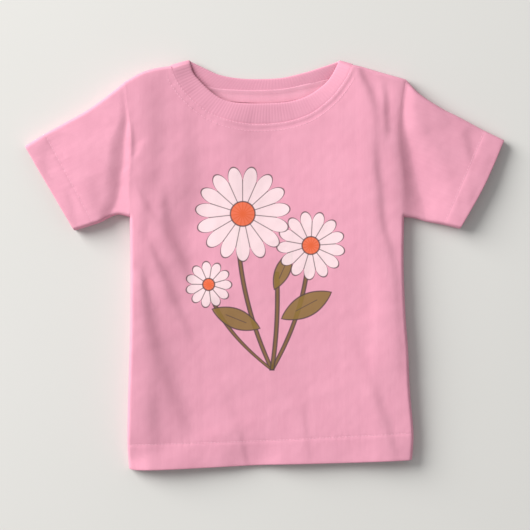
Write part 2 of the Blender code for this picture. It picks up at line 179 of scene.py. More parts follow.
# Heights of the front over the floor, in millimetres, for each place down the body at the places across it
ACROSS = (-108, -85, -60, -30, 0, 30, 60, 85, 108)
BODY_LOFTS = {
    150: (12.6, 12.2, 10.6, 9.0, 8.2, 8.6, 9.4, 10.8, 11.6),
    100: (12.8, 11.6, 9.2, 7.8, 7.4, 8.1, 9.8, 12.8, 14.4),
    50: (12.4, 11.0, 8.4, 7.2, 7.1, 8.0, 9.8, 12.9, 14.4),
    0: (14.6, 12.2, 8.4, 7.2, 7.2, 8.0, 9.7, 12.8, 14.2),
    -50: (15.0, 12.4, 8.6, 7.4, 7.5, 8.2, 9.7, 12.9, 14.5),
    -100: (14.6, 12.6, 8.8, 7.8, 7.9, 8.4, 9.7, 12.8, 14.4),
    -150: (12.2, 11.6, 9.4, 8.5, 8.4, 8.7, 9.6, 12.0, 13.8),
}
# The same on the sleeves: x, y and height
SLEEVE_LOFTS = (
    (-135, 95, 14.2), (-150, 85, 13.6), (-175, 72, 10.6), (-190, 88, 8.8), (-158, 42, 10.8),
    (-138, 54, 10.8), (-162, 116, 10.2), (-136, 134, 11.4), (-186, 102, 8.8),
    (135, 95, 10.4), (150, 90, 10.6), (175, 75, 12.0), (192, 98, 6.4), (178, 60, 14.4), (160, 40, 12.0),
    (134, 60, 9.8),
)
# How much higher or lower the hem lies than that, at places across it, and how far up the shirt that is felt
HEM_WAVE = (
    (-112, -5.6), (-106, -4.6), (-100, -2.6), (-94, -0.4), (-86, 1.5), (-76, 2.4), (-64, 2.0), (-52, 1.0),
    (-38, 0.4), (-28, -0.6), (-19, -2.1), (-10, -2.7), (-2, -2.8), (5, -1.8), (13, -0.1), (24, 0.6),
    (38, 0.7), (52, -0.2), (68, -1.4), (84, -0.8), (96, 0.0), (112, -0.6), (124, -2.0),
)
HEM_LEVEL, HEM_WAVE_REACH = -164.0, 19.0


def joined_edges():
    """The lines where the front and the back are joined: sides, sleeves and shoulders, but no opening.

    The sides and the shoulders have the same points as the panels' own edges. The roll is so steep at its edge
    that a gap of a hundredth of a millimetre between the two would lift the front off the back.
    """
    lines = []
    for side in (0, 1):
        lines.append(smooth(SIDES[side], SIDE_POINTS))
        lines.append(smooth((*SLEEVE_BOTTOMS[side], CUFF_BOTTOMS[side]), 30))
        lines.append(smooth((*SLEEVE_TOPS[side], CUFF_TOPS[side]), 40))
        lines.append(smooth(SHOULDERS[side], SHOULDER_POINTS))
        lines.append(np.array((NECK_POINTS[side], PEAKS[side]), float))
    return lines


EDGES = joined_edges()


def rolled(plan):
    """0 on a joined edge and 1 from ROLL inwards, along a quarter of a full-cornered ellipse."""
    distance = np.min([abs(nearest(plan, line)[0]) for line in EDGES], axis=0)
    return (1 - (1 - np.clip(distance / ROLL, 0, 1)) ** ROUNDNESS) ** (1 / ROUNDNESS)


def loft(plan):
    """The smooth height of the front, a weighted mean of the named ones."""
    body = [(x, y, z) for y, row in BODY_LOFTS.items() for x, z in zip(ACROSS, row)]
    places = np.array((*body, *SLEEVE_LOFTS), float)
    weight = np.exp(-((plan[..., None, :] - places[:, :2]) ** 2).sum(-1) / (2 * LOFT_SPREAD**2))
    wave = np.array(HEM_WAVE, float)
    up = np.maximum(plan[..., 1] - HEM_LEVEL, 0) / HEM_WAVE_REACH
    lift = np.interp(plan[..., 0], *smooth(wave, 80).T) * np.exp(-(up**2))
    return (weight * places[:, 2]).sum(-1) / weight.sum(-1) + lift


print("front stands", round(float(loft(np.zeros(2))), 1), "mm high at its middle")

# %% [markdown]
# ## Creases
# Knitted cotton doesn't crease like paper. It makes soft drags: the cloth stands up along one side of a
# line and sinks on the other, and the face between them is what looks dark. Each drag is a path of points,
# and each point has its own width and drop, so a drag can start thin, swell and end in nothing. Paths run
# down the shirt, and the cloth falls towards the wearer's left of them. What it has lost it makes up again
# slowly on both sides, so a drag changes nothing far away from it. A long one is felt further off than a
# short one.

# %% Drags
# Each point of a path is x, y, half the width of the drag there and half its drop, in millimetres
DRAGS = (
    ((-83.3, 66, 4, 0.0), (-81.7, 49, 5.5, 1.6), (-79.2, 29, 7, 2.6), (-71, 12, 6.5, 2.0),
     (-65, -2.5, 6, 1.6), (-59.5, -20, 6, 0.5), (-56, -32, 6, 0.0)),
    ((-106, 70, 2.0, 0.0), (-102.5, 61, 2.4, 0.3), (-97, 50, 3, 0.7), (-88, 36, 3, 0.4),
     (-79, 27, 2.6, 0.0)),
    ((-95.6, 20.5, 2.5, 0.0), (-91.5, 12, 3.5, 1.0), (-85.8, 0, 4.5, 1.5), (-77.6, -19, 6, 1.9),
     (-68.5, -41, 4.5, 0.9), (-61, -60, 4, 0.3), (-55.5, -74, 4, 0.0)),
    ((-102, -2.5, 3, 0.0), (-98.9, -14, 4, 1.3), (-95.6, -33, 6, 2.0), (-92, -53, 8, 2.4),
     (-86, -76, 10, 2.7), (-78, -98, 10, 2.6), (-71, -115, 9, 1.8), (-65, -129, 9, 1.3),
     (-60, -146, 8, 0.0)),
    ((-94, -78, 5, 0.0), (-92.3, -102, 7, 0.8), (-90.7, -127, 8, 1.7), (-90, -148, 11, 1.9),
     (-90, -162, 10, 1.3), (-90, -178, 9, 0.8)),
    ((-106, 96, 1.6, 0.1), (-100, 101, 1.8, 0.25), (-93, 105, 2, 0.0)),
    ((-110, 84, 1.6, 0.1), (-103, 94, 1.8, 0.2), (-99, 101, 2, 0.0)),
    ((-93, 158, 11, 0.5), (-91, 136, 12, 1.8), (-89, 108, 13, 2.5), (-90, 84, 12, 2.0),
     (-94, 62, 10, 1.7), (-97, 44, 9, 1.8), (-99, 22, 9, 1.7), (-99, 0, 9, 1.0), (-99, -22, 8, 0.0)),
    ((-62, 132, 14, 0.0), (-62, 108, 17, 1.9), (-62, 84, 18, 2.8), (-64, 62, 17, 2.9),
     (-67, 40, 15, 2.3), (-70, 18, 14, 1.6), (-73, -4, 13, 0.9), (-74, -24, 12, 0.0)),
    ((-22, 136, 20, 0.0), (-16, 112, 28, 2.2), (-14, 92, 30, 2.6), (-12, 70, 28, 2.1),
     (-10, 48, 24, 0.9), (-10, 28, 18, 0.0)),
    ((-108.6, 117, 1.5, 0.0), (-107.6, 106, 2.0, 0.4), (-107.6, 95, 2.0, 0.4), (-108.4, 84, 1.5, 0.0)),
    ((77, 163, 2.4, 0.8), (82, 152, 3.2, 1.3), (87, 142, 4, 1.6), (91, 127, 4.2, 1.2), (92, 111, 4, 0.6),
     (91.4, 94, 4, 0.8), (92.2, 78, 3.8, 1.3), (94.6, 61.5, 3.8, 1.0), (95.5, 45, 3.4, 0.9),
     (98, 29, 3.4, 0.95), (103, 14, 4, 0.9), (107, -8, 5, 1.0), (109, -30, 5, 0.9), (111, -55, 5, 0.8),
     (112, -80, 5, 0.7), (115, -102, 4, 0.0)),
    ((84, -112, 8, 0.0), (87, -80, 8, 0.7), (90, -50, 8, 0.9), (90, -20, 8, 0.8), (88, 8, 8, 0.0)),
    ((97, 153, 2, 0.0), (99.5, 138, 2.5, 0.9), (99.7, 123, 3, 1.2), (100.4, 111, 3, 0.8),
     (98.7, 98, 3, 0.0)),
    ((70, -53, 6, 0.0), (78, -70, 5, 0.38), (87, -94, 5, 0.58), (99.5, -127, 5, 1.1),
     (104.5, -143.5, 4.5, 0.75), (107.7, -156, 4, 0.5), (110, -172, 4, 0.4)),
    ((-35, -98, 4, 0.0), (-26.7, -119, 5, 0.38), (-20, -139, 3, 0.35), (-16.9, -151.7, 2.4, 0.35),
     (-14.4, -163, 2.4, 0.4), (-12, -176, 2.4, 0.4)),
    ((31.5, -111, 2.5, 0.0), (33, -127, 2.5, 0.23), (37, -152, 3, 0.28), (38, -163, 3, 0.2),
     (38, -176, 3, 0.2)),
    ((-180, 108, 5, 0.0), (-180, 99, 6, 0.8), (-181, 90, 5, 0.5), (-181, 80, 5, 0.8), (-178, 70, 4, 0.3),
     (-172, 60, 4, 0.0)),
    ((-165, 66, 3, 0.0), (-162, 57, 3.5, 0.5), (-158.5, 46, 3.5, 0.5), (-156, 36, 3, 0.2)),
    ((-141, 76, 8, 0.0), (-142, 64, 10, 1.1), (-138, 51, 11, 1.8), (-134, 40, 10, 1.4),
     (-131, 30, 9, 0.8)),
    ((163, 114, 4, 0.0), (165, 105, 5, 0.8), (168, 94, 4, 0.7), (170, 84, 3, 0.2), (169, 76, 3, 0.0)),
    ((134, 135, 2, 0.0), (146, 124, 2.4, 0.25), (158, 112, 2.6, 0.0)),
    ((186, 92, 3, 0.0), (182, 80, 3.5, 0.35), (176, 68, 3.5, 0.2), (170, 56, 3, 0.35),
     (166, 46, 3, 0.0)),
)
# How steep a drag is in its middle, and how far off it fades: the least of so many half widths, so many
# millimetres and so much of its length
STEEPNESS, FADE_WIDTHS, FADE_MOST, FADE_SHARE = 1.3, 4.6, 44.0, 0.4
RUMPLE_LENGTHS, RUMPLE_SIZE, RUMPLE_POWER = np.geomspace(7, 60, 32), 0.0037, 0.6


def creases(plan):
    """What the drags add to the height: a fall across each path, made up again slowly on both sides."""
    height = np.zeros(plan.shape[:-1])
    for path in DRAGS:
        line = smooth(path, 8 * len(path))
        offset, along = nearest(plan, line)
        run = run_of(line[:, :2])
        share = run / run[-1]
        width, size = (np.interp(along, share, np.maximum(line[:, k], 0)) for k in (2, 3))
        across = offset / width
        fade = np.minimum(FADE_WIDTHS * width, min(FADE_MOST, FADE_SHARE * run[-1]))
        height -= size * np.tanh(STEEPNESS * across) * np.exp(-((offset / fade) ** 2))
    return height


def rumple(plan):
    """The slight unevenness of a cloth that has been washed, as a sum of waves of many lengths."""
    dice = np.random.default_rng(7)
    height = np.zeros(plan.shape[:-1])
    for length in RUMPLE_LENGTHS:
        turn, phase = dice.uniform(0, math.pi), dice.uniform(0, 2 * math.pi)
        wave = (plan[..., 0] * math.cos(turn) + plan[..., 1] * math.sin(turn)) / length * 2 * math.pi
        height += length**RUMPLE_POWER * RUMPLE_SIZE * np.sin(wave + phase)
    return height


print(len(DRAGS), "drags, the deepest", 2 * max(point[3] for path in DRAGS for point in path), "mm")

# %% [markdown]
# ## Tucks at the armholes
# A sleeve that lies at an angle to the body has more cloth at its armhole than there is room for. The cloth
# sinks into a tuck beside the seam, and rises again further out. On the wearer's right the tuck leaves a
# low ridge along the seam, and the whole edge of the body sinks a little with it. On the left only the seam
# itself sinks.

# %% Tucks
# Each row is a share of the way down the armhole, how far the sleeve sinks at the seam and at the foot of the
# tuck, how far out the foot is, and how far out the tuck ends
TUCKS = (
    ((0, 0.2, 0.2, 0.6, 6), (0.18, 0.5, 0.7, 1.2, 7), (0.32, 1.3, 2.0, 3.2, 12), (0.45, 1.8, 2.8, 6, 18),
     (0.65, 2.1, 3.2, 7, 22), (0.85, 2.4, 3.2, 9, 22), (0.94, 2.8, 2.9, 13, 24), (1, 3.0, 2.5, 16, 26)),
    ((0, 1.4, 1.4, 0.8, 10), (0.2, 1.4, 2.2, 2, 13), (0.33, 1.4, 3.0, 4.5, 19), (0.52, 1.5, 4.5, 8.5, 31),
     (0.68, 1.55, 5.1, 9.5, 38), (0.81, 1.5, 5.4, 12, 42), (0.9, 1.4, 5.4, 15, 44), (1, 1.2, 4.4, 17, 46)),
)
TUCK_RISE = 0.75
# How far in the body sinks with the sleeve, and the power of its fading
TUCK_ON_BODY = ((40.0, 2.0), (3.2, 1.0))
SEAM_RIDGE, SEAM_RIDGE_WIDTH = 0.14, 1.5


def tuck_at(plan, side):
    """Distance from an armhole, and the other columns of TUCKS at that place down the seam."""
    offset, along = nearest(plan, smooth(ARMHOLES[side], 40))
    table = smooth(TUCKS[side], 80)
    return abs(offset), *(np.interp(along, table[:, 0], table[:, k]) for k in range(1, 5))


def tucked(plan, side):
    """How far a sleeve sinks beside the armhole."""
    out, at_seam, depth, foot, reach = tuck_at(plan, side)
    near = at_seam + (depth - at_seam) * np.sin(np.clip(out / foot, 0, 1) * math.pi / 2) ** (2 - side)
    risen = np.clip((out - foot) / (reach - foot), 0, 1) ** TUCK_RISE
    return np.where(out < foot, near, depth * (1 - eased(risen)))


def seam_ridge(plan):
    """The low ridge along the armhole on the wearer's right."""
    return SEAM_RIDGE * np.exp(-((nearest(plan, smooth(ARMHOLES[0], 40))[0] / SEAM_RIDGE_WIDTH) ** 2))


def armhole_seams(plan):
    """What the two armhole seams add to the body's height."""
    height = seam_ridge(plan)
    for side in (0, 1):
        out, at_seam = tuck_at(plan, side)[:2]
        reach, power = TUCK_ON_BODY[side]
        height -= at_seam * np.exp(-((out / reach) ** power))
    return height


print("the deepest tuck is", max(row[2] for table in TUCKS for row in table), "mm")

# %% [markdown]
# ## Seams press into the cloth
# Where a seam is sewn, the thread pulls the cloth down into a narrow groove, and the cloth beside it
# puckers into small waves, because it was stretched a little under the needle. Two such rows run round the
# neckband, with the seam's own turned edge making a soft ridge between them, which stands higher on the
# wearer's left. One row runs along the hem and each cuff, and outside it the cloth is double and stands a
# little higher.

# %% Grooves and puckers
NECK_ROWS = (0.9, 6.2)
RIDGE_HEIGHT, RIDGE_OUT, RIDGE_WIDTH = 0.36, 1.8, 1.3
STEP_HEIGHT, STEP_START, STEP_END = 0.19, 4.6, 7
HEM_GROOVE, HEM_GROOVE_WIDTH = 0.10, 0.7
HEM_STEP, CUFF_STEP = 0.28, 0.3
PUCKER_SIZE = 0.05
NECK_RUN, HEM_RUN, CUFF_RUN = 205, 235, 85
FRONT_NECK, HEM_ROW = smooth(NECK_SEAM, 120), smooth(HEM_STITCH, 60)
CUFF_ROWS = [np.array((CUFF_STITCH_TOPS[s], CUFF_STITCH_BOTTOMS[s]), float) for s in (0, 1)]


def bell(distance, width):
    """1 on a line, falling to nothing at about twice width on both sides."""
    return np.exp(-((distance / width) ** 2))


def puckers(distance, run, pitch, reach):
    """Small waves across a row of stitches, fading away from it. run is in millimetres along the row."""
    uneven = 1 + 0.5 * np.sin(run / 23.0) + 0.35 * np.sin(run / 9.1 + 1.3)
    wave = np.sin(2 * math.pi * run / pitch + 1.4 * np.sin(run / 17.0))
    return PUCKER_SIZE * uneven * wave * bell(distance, reach)


def sewn(plan, side):
    """Height that the seams add to the front, or to a sleeve."""
    if side is None:
        offset, along = nearest(plan, FRONT_NECK)
        out = abs(offset)
        pushed = 0.25 + 0.75 * eased((along - 0.12) / 0.4)
        height = RIDGE_HEIGHT * pushed * bell(out - RIDGE_OUT, RIDGE_WIDTH)
        height += STEP_HEIGHT * pushed * eased((out - STEP_START) / 1.6) * (1 - eased((out - STEP_END) / 8))
        height += puckers(out - 5, along * NECK_RUN, 5.6, 4.0)
        offset, along = nearest(plan, HEM_ROW)
        height += puckers(offset, along * HEM_RUN, 4.8, 5.0) - HEM_GROOVE * bell(offset, HEM_GROOVE_WIDTH)
        return height + HEM_STEP * np.where(plan[..., 1] < -100, eased(np.maximum(-offset, 0) / 2.6), 0)
    offset, along = nearest(plan, CUFF_ROWS[side])
    outwards = offset if side == 1 else -offset
    return CUFF_STEP * eased(outwards / 2.4) + puckers(offset, along * CUFF_RUN, 5.2, 5.0)


def upper(plan, side=None):
    """The outside of the front or a sleeve, as points in metres. side is given on a sleeve."""
    height = loft(plan) + creases(plan) + rumple(plan) + sewn(plan, side)
    if side is None:
        height += armhole_seams(plan)
    else:
        height -= tucked(plan, side)
    if side == 0:
        height += seam_ridge(plan)
    z = SEAM_HEIGHT + (height - SEAM_HEIGHT) * rolled(plan)
    return np.concatenate([plan, z[..., None]], axis=-1) * MM


def lower(plan):
    """The outside of the back: flat on the floor, rolled up at the joined edges."""
    return np.concatenate([plan, SEAM_HEIGHT * (1 - rolled(plan))[..., None]], axis=-1) * MM


print("with its creases the middle is", round(float(upper(np.zeros((1, 2)))[0, 2] / MM), 1), "mm high")

# %% [markdown]
# ## A piece of cloth
# Every piece is made the same way. Blender's grid primitive gives rows and columns of points, the points
# are moved to their places, and Solidify gives the cloth its thickness on the inside, with a second
# material for the wrong side of the knit. A hem is the same sheet carried on: it bends round a tight half
# circle at the edge and runs back up inside, so that the edge of the shirt is really a fold.

# %% Cloth tools
CLOTH = 0.65
FOLD_RADIUS, FOLD_STEPS = 0.85, 5
ROLL_STEPS = 6
FINE_STEP, FINE_COUNT = 0.4, 5
MERGE_DISTANCE = 0.005 * MM


def deselect():
    if bpy.context.object and bpy.context.object.mode != "OBJECT":
        bpy.ops.object.mode_set(mode="OBJECT")
    bpy.ops.object.select_all(action="DESELECT")


def cloth_from_grid(name, grid, uv, thickness=0.0, merge=False):
    """A grid primitive with its points moved to grid (metres), its UV map in metres, and its thickness."""
    rows, columns = grid.shape[:2]
    deselect()
    bpy.ops.mesh.primitive_grid_add(x_subdivisions=columns - 1, y_subdivisions=rows - 1, size=1)
    obj = bpy.context.object
    obj.name = obj.data.name = name
    obj.data.vertices.foreach_set("co", grid.astype("f").ravel())
    corner = np.empty(len(obj.data.loops), "i")
    obj.data.loops.foreach_get("vertex_index", corner)
    obj.data.uv_layers[0].data.foreach_set("uv", uv.reshape(-1, 2)[corner].astype("f").ravel())
    if merge:
        bpy.ops.object.mode_set(mode="EDIT")
        bpy.ops.mesh.select_all(action="SELECT")
        bpy.ops.mesh.remove_doubles(threshold=MERGE_DISTANCE)
        bpy.ops.object.mode_set(mode="OBJECT")
    if thickness:
        solid = obj.modifiers.new("cloth", "SOLIDIFY")
        solid.thickness, solid.offset = thickness * MM, -1
        solid.material_offset = solid.material_offset_rim = 1
        bpy.ops.object.modifier_apply(modifier=solid.name)
    bpy.ops.object.shade_smooth()
    print(name, len(obj.data.polygons), "faces,", [round(d * 1000) for d in obj.dimensions], "mm")
    return obj


def normals_of(grid):
    """The unit normal at each point of a grid."""
    along, over = np.gradient(grid, axis=0), np.gradient(grid, axis=1)
    normal = np.cross(over, along)
    return normal / np.maximum(np.linalg.norm(normal, axis=-1, keepdims=True), 1e-12)


def turned_in(grid, depth_rows):
    """A grid whose row 0 is a free edge, carried on round a fold and back inside over its first rows."""
    normal = normals_of(grid)
    edge, n = grid[0], normal[0]
    out = edge - grid[1]
    out -= (out * n).sum(-1, keepdims=True) * n
    out /= np.linalg.norm(out, axis=-1, keepdims=True)
    radius = FOLD_RADIUS * MM
    bends = [edge - n * radius + radius * (n * math.cos(a) + out * math.sin(a))
             for a in np.linspace(math.pi, 0, FOLD_STEPS + 2)[1:-1]]
    inside = grid[:depth_rows] - normal[:depth_rows] * 2 * radius
    return np.concatenate([inside[::-1], np.array(bends), grid])


def map_of(grid, lead_rows, centre, axis=(0.0, 1.0)):
    """UV in metres: v along axis, u across it and laid out flat where the cloth turns down or round."""
    across = grid[..., 0] * axis[1] - grid[..., 1] * axis[0]
    step = np.diff(grid, axis=1)
    drop = np.linalg.norm(step, axis=-1) - np.linalg.norm(step[..., :2], axis=-1)
    out = np.pad(np.cumsum(abs(np.diff(across, axis=1)) + drop, axis=1), ((0, 0), (1, 0)))
    way = np.sign(across[-1, centre + 1] - across[-1, centre])
    u = across[:, centre:centre + 1] + way * (out - out[:, centre:centre + 1])
    v = grid[..., 0] * axis[0] + grid[..., 1] * axis[1]
    for i in range(lead_rows - 1, -1, -1):
        u[i], v[i] = u[i + 1], v[i + 1] - np.linalg.norm(grid[i + 1] - grid[i], axis=-1)
    return np.stack([u, v], axis=-1)


def roll_offsets():
    """Distances in from a rolled edge, closer together where it turns down."""
    return ROLL * (1 - np.cos(np.linspace(0, math.pi / 2, ROLL_STEPS + 1)))


def rows_from_seam(length, step):
    """Shares of a length from a seam outwards: fine steps beside the seam, then even ones."""
    near = np.arange(FINE_COUNT) * FINE_STEP / length
    even_count = max(2, int(length * (1 - near[-1]) / step))
    return np.concatenate([near[:-1], np.linspace(near[-1], 1, even_count)])


print("cloth", CLOTH, "mm thick, folds", 2 * FOLD_RADIUS, "mm through")

# %% [markdown]
# ## The front
# The front is one sheet from the neck seam to the hem. Its columns follow the sides at the edges and spread
# evenly between, and its rows run from the hem up to a top line made of a shoulder, the neck seam and the
# other shoulder. About one point every millimetre and a half is enough for the smallest pucker.

# %% Front panel
HEM_WIDTH, HEM_DEPTH, PANEL_LENGTH = 20, 18.5, 285
FRONT_STEP, BACK_STEP = 1.6, 4.0
# Points along a panel's top: on each shoulder, and round the neck
FRONT_COUNTS, BACK_COUNTS = (24, 118), (14, 52)


def side_line(side):
    """A function that gives the x of the body's side and armhole at a height up the shirt."""
    line = np.vstack([smooth(SIDES[side], SIDE_POINTS), smooth(ARMHOLES[side], 60)[::-1][1:]])
    order = np.argsort(line[:, 1])
    return lambda y: np.interp(y, line[order, 1], line[order, 0])


def body_top(neck_line, shoulder_count, neck_count):
    """Points along a body panel's top: shoulder, neck seam, shoulder."""
    first, last = (smooth(line, SHOULDER_POINTS) for line in SHOULDERS)
    neck = smooth(neck_line, 200)
    start, length = roll_offsets(), math.dist(first[0], first[-1])
    shares = np.concatenate([start / length, np.linspace(start[-1] / length, 1, shoulder_count)[1:]])
    start = start / run_of(neck)[-1]
    middle = np.linspace(start[-1], 1 - start[-1], neck_count)
    round_neck = resample(neck, np.concatenate([start[:-1], middle, 1 - start[-2::-1]]))
    return np.vstack([resample(first, shares), round_neck[1:-1], resample(last, 1 - shares[::-1])])


def body_plan(top, step):
    """Plan points between the hem's edge and the top line, row 0 at the hem."""
    left, right = side_line(0), side_line(1)
    top_share = (top[:, 0] - left(top[:, 1])) / (right(top[:, 1]) - left(top[:, 1]))
    hem = smooth(HEM_EDGE, 90)
    rim = roll_offsets() / (hem[-1, 0] - hem[0, 0])
    middle = np.linspace(rim[-1], 1 - rim[-1], len(top) - 2 * ROLL_STEPS)
    even = np.concatenate([rim[:-1], middle, 1 - rim[-2::-1]])
    across = hem[0, 0] + even * (hem[-1, 0] - hem[0, 0])
    hem_y = np.interp(across, hem[:, 0], hem[:, 1]) + FOLD_RADIUS
    stitch_y = np.interp(across, HEM_ROW[:, 0], HEM_ROW[:, 1])
    offsets = roll_offsets()[::-1]
    rows = []
    for t in 1 - rows_from_seam(HEM_WIDTH, step)[:0:-1]:
        y = hem_y + t * (stitch_y - hem_y)
        rows.append(np.stack([left(y) + even * (right(y) - left(y)), y], axis=-1))
    for t in rows_from_seam(PANEL_LENGTH, step):
        y = stitch_y + t * (top[:, 1] - offsets[0] - stitch_y)
        share = even + t**2 * (top_share - even)
        rows.append(np.stack([left(y) + share * (right(y) - left(y)), y], axis=-1))
    for offset in offsets[1:]:
        y = top[:, 1] - offset
        rows.append(np.stack([left(y) + top_share * (right(y) - left(y)), y], axis=-1))
    return np.array(rows)


def hem_rows(plan, depth):
    """How many of a plan's first rows lie within depth of its edge."""
    middle = plan[:, plan.shape[1] // 2, 1]
    return int((middle < middle[0] + depth).sum())


front_plan = body_plan(body_top(NECK_SEAM, *FRONT_COUNTS), FRONT_STEP)
front_depth = hem_rows(front_plan, HEM_DEPTH)
front_grid = turned_in(upper(front_plan), front_depth)
front_map = map_of(front_grid, front_depth + FOLD_STEPS, front_grid.shape[1] // 2)
front = cloth_from_grid("shirt_front", front_grid, front_map, CLOTH)

# %% [markdown]
# ## The back
# The back lies flat on the floor and is seen only through the neck, under the edges and from below, so its
# grid is coarser. Its outside faces down, so its columns run the other way.

# %% Back panel
back_plan = body_plan(body_top(BACK_SEAM, *BACK_COUNTS), BACK_STEP)
back_depth = hem_rows(back_plan, HEM_DEPTH)
back_grid = turned_in(lower(back_plan)[:, ::-1], back_depth)
back_grid[..., 2] = np.maximum(back_grid[..., 2], 0)
back_map = map_of(back_grid, back_depth + FOLD_STEPS, back_grid.shape[1] // 2)
back = cloth_from_grid("shirt_back", back_grid, back_map, CLOTH)

# %% [markdown]
# ## The sleeves
# A sleeve is a tube: over the top from its upper fold to its lower one, and back underneath. The plan of
# its upper half is a Coons patch, which fills the space between four curved sides. The tube is unrolled as
# a grid whose last column meets its first, and the doubled points are merged.

# %% Sleeves
SLEEVE_LENGTH, SLEEVE_ACROSS, SLEEVE_STEP = 70, 58, 1.5
CUFF_WIDTH, CUFF_DEPTH, DEPTH_COLUMN = 18, 15, 20
# The seam allowance: how far it goes in under the body, and how far below the sleeve's own edge
ALLOWANCE = ((0.06, 0.0), (0.3, 0.7), (2.4, 0.9))


def sleeve_plan(start_line, end_line, top_line, bottom_line, shares, rows):
    """A Coons patch: row 0 on the start line, columns from the sleeve's top edge to its underside."""
    start, end = resample(start_line, shares), resample(end_line, shares)
    top, bottom = resample(top_line, rows), resample(bottom_line, rows)
    t, q = rows[:, None, None], shares[None, :, None]
    ruled = (1 - t) * start + t * end
    straight_top = (1 - t) * start[0] + t * end[0]
    straight_bottom = (1 - t) * start[-1] + t * end[-1]
    return ruled + (1 - q) * (top[:, None] - straight_top) + q * (bottom[:, None] - straight_bottom)


def make_sleeve(side, name):
    """A sleeve and its cuff as one tube, from the fold at the cuff to the allowance at the armhole."""
    top, bottom = smooth(SLEEVE_TOPS[side], 90), smooth(SLEEVE_BOTTOMS[side], 90)
    cuff = smooth(CUFF_EDGES[side], 60)
    towards_body = CUFF_ROWS[side].mean(0) - cuff.mean(0)
    towards_body /= np.linalg.norm(towards_body)
    rim = roll_offsets() / math.dist(cuff[0], cuff[-1])
    shares = np.concatenate([rim, np.linspace(rim[-1], 1 - rim[-1], SLEEVE_ACROSS)[1:-1], 1 - rim[::-1]])
    sleeve_rows = 1 - rows_from_seam(SLEEVE_LENGTH, SLEEVE_STEP)[::-1]
    sleeve = sleeve_plan(smooth(ARMHOLES[side], 90), CUFF_ROWS[side], top, bottom, shares, sleeve_rows)
    stitched = resample(CUFF_ROWS[side], shares)
    end = resample(cuff, shares) + towards_body * FOLD_RADIUS
    turn_up = stitched + rows_from_seam(CUFF_WIDTH, SLEEVE_STEP)[1:, None, None] * (end - stitched)
    plan = np.concatenate([sleeve, turn_up])[::-1]
    grid = np.concatenate([upper(plan, side), lower(plan)[:, -2::-1]], axis=1)
    middle = len(shares) // 2
    if side == 1:
        grid, middle = grid[:, ::-1], grid.shape[1] - 1 - middle
    from_edge = np.linalg.norm(plan[:, DEPTH_COLUMN] - plan[0, DEPTH_COLUMN], axis=-1)
    depth = int((from_edge < CUFF_DEPTH).sum())
    grid = turned_in(grid, depth)
    grid[:, -1] = grid[:, 0]
    grid = with_allowance(grid, (1 if side == 0 else -1, 0, 0))
    uv = map_of(grid, depth + FOLD_STEPS, middle, towards_body)
    return cloth_from_grid(name, grid, uv, CLOTH, merge=True)


def with_allowance(grid, inwards):
    """A tube with its last row carried on under the piece that it is sewn to, as the seam allowance is."""
    edge, normal = grid[-1], normals_of(grid)[-1]
    rows = [edge + (np.array(inwards) * out - normal * under) * MM for out, under in ALLOWANCE]
    return np.concatenate([grid, rows])


sleeve_right = make_sleeve(0, "shirt_sleeve_right")
sleeve_left = make_sleeve(1, "shirt_sleeve_left")

# %% [markdown]
# ## The neckband
# The band is a strip of 1 by 1 rib, folded double along its free edge and sewn on by its two raw edges. Rib
# is knitted with every other wale pushed back, so it is ridged for real: about one ridge every 2.7 mm,
# running from the seam to the fold. A picture of ridges would look flat where the band bends over the
# shoulders, so the ridges are in the mesh: eight points across each. The cross-section is a thin loop,
# round at the fold.

# %% Ribbed neckband
RIB_PITCH, RIDGES_ROUND, FRONT_RIDGES, POINTS_PER_RIDGE = 2.66, 128, 72, 8
RIB_HALF, RIB_RIDGE, FOLD_RIDGE = 1.05, 0.035, 0.003
NECK_FOLD_RISE = 2.0
BAND_ALLOWANCE = 1.2
STEADYING, FACING_ROUNDS = 17, 12
# The height of each line over the floor at its ends and in its middle. The front seam lies on the cloth
BACK_SEAM_HEIGHTS, FRONT_EDGE_HEIGHTS, BACK_EDGE_HEIGHTS = (2.2, 1.6), (5.8, 7.0), (4.8, 1.9)
# Half of the band's cross-section, from the seam to the fold: share of the width, and share of RIB_HALF
HALF_LOOP = (
    (0.00, 0.32), (0.02, 0.58), (0.066, 0.77), (0.10, 0.90), (0.15, 0.97), (0.28, 1.0), (0.44, 1.04),
    (0.60, 1.06), (0.76, 1.05), (0.90, 1.0), (0.962, 0.86), (0.988, 0.54), (1.0, 0.0),
)


def band_line(points, count, heights=None, is_edge=False):
    """One line round the neck as 3-D points. It bends over the shoulder folds and rises to the middle."""
    shares = np.linspace(0, 1, count)
    plan = resample(smooth(points, 160), shares)
    if heights is None:
        cloth = upper(plan)[:, 2] / MM
        around = np.pad(cloth, STEADYING // 2, mode="edge")
        steady = np.convolve(around, np.full(STEADYING, 1 / STEADYING), "valid")
        return np.column_stack([plan, np.minimum(cloth, steady) - RIB_HALF + 0.1]) * MM
    folds = [np.array((NECK_POINTS[side], PEAKS[side]), float) for side in (0, 1)]
    distance = np.min([abs(nearest(plan, line)[0]) for line in folds], axis=0)
    bend = np.sqrt(1 - (1 - np.clip(distance / ROLL, 0, 1)) ** 2)
    height = heights[0] + (heights[1] - heights[0]) * np.sin(math.pi * shares) ** 0.8
    fold_height = SEAM_HEIGHT + (NECK_FOLD_RISE if is_edge else 0)
    return np.column_stack([plan, fold_height + (height - fold_height) * bend]) * MM


def ring_of(front_line, back_line):
    """The front line, and then the back line the other way, without the ends that they share."""
    return np.vstack([front_line, back_line[-2:0:-1]])


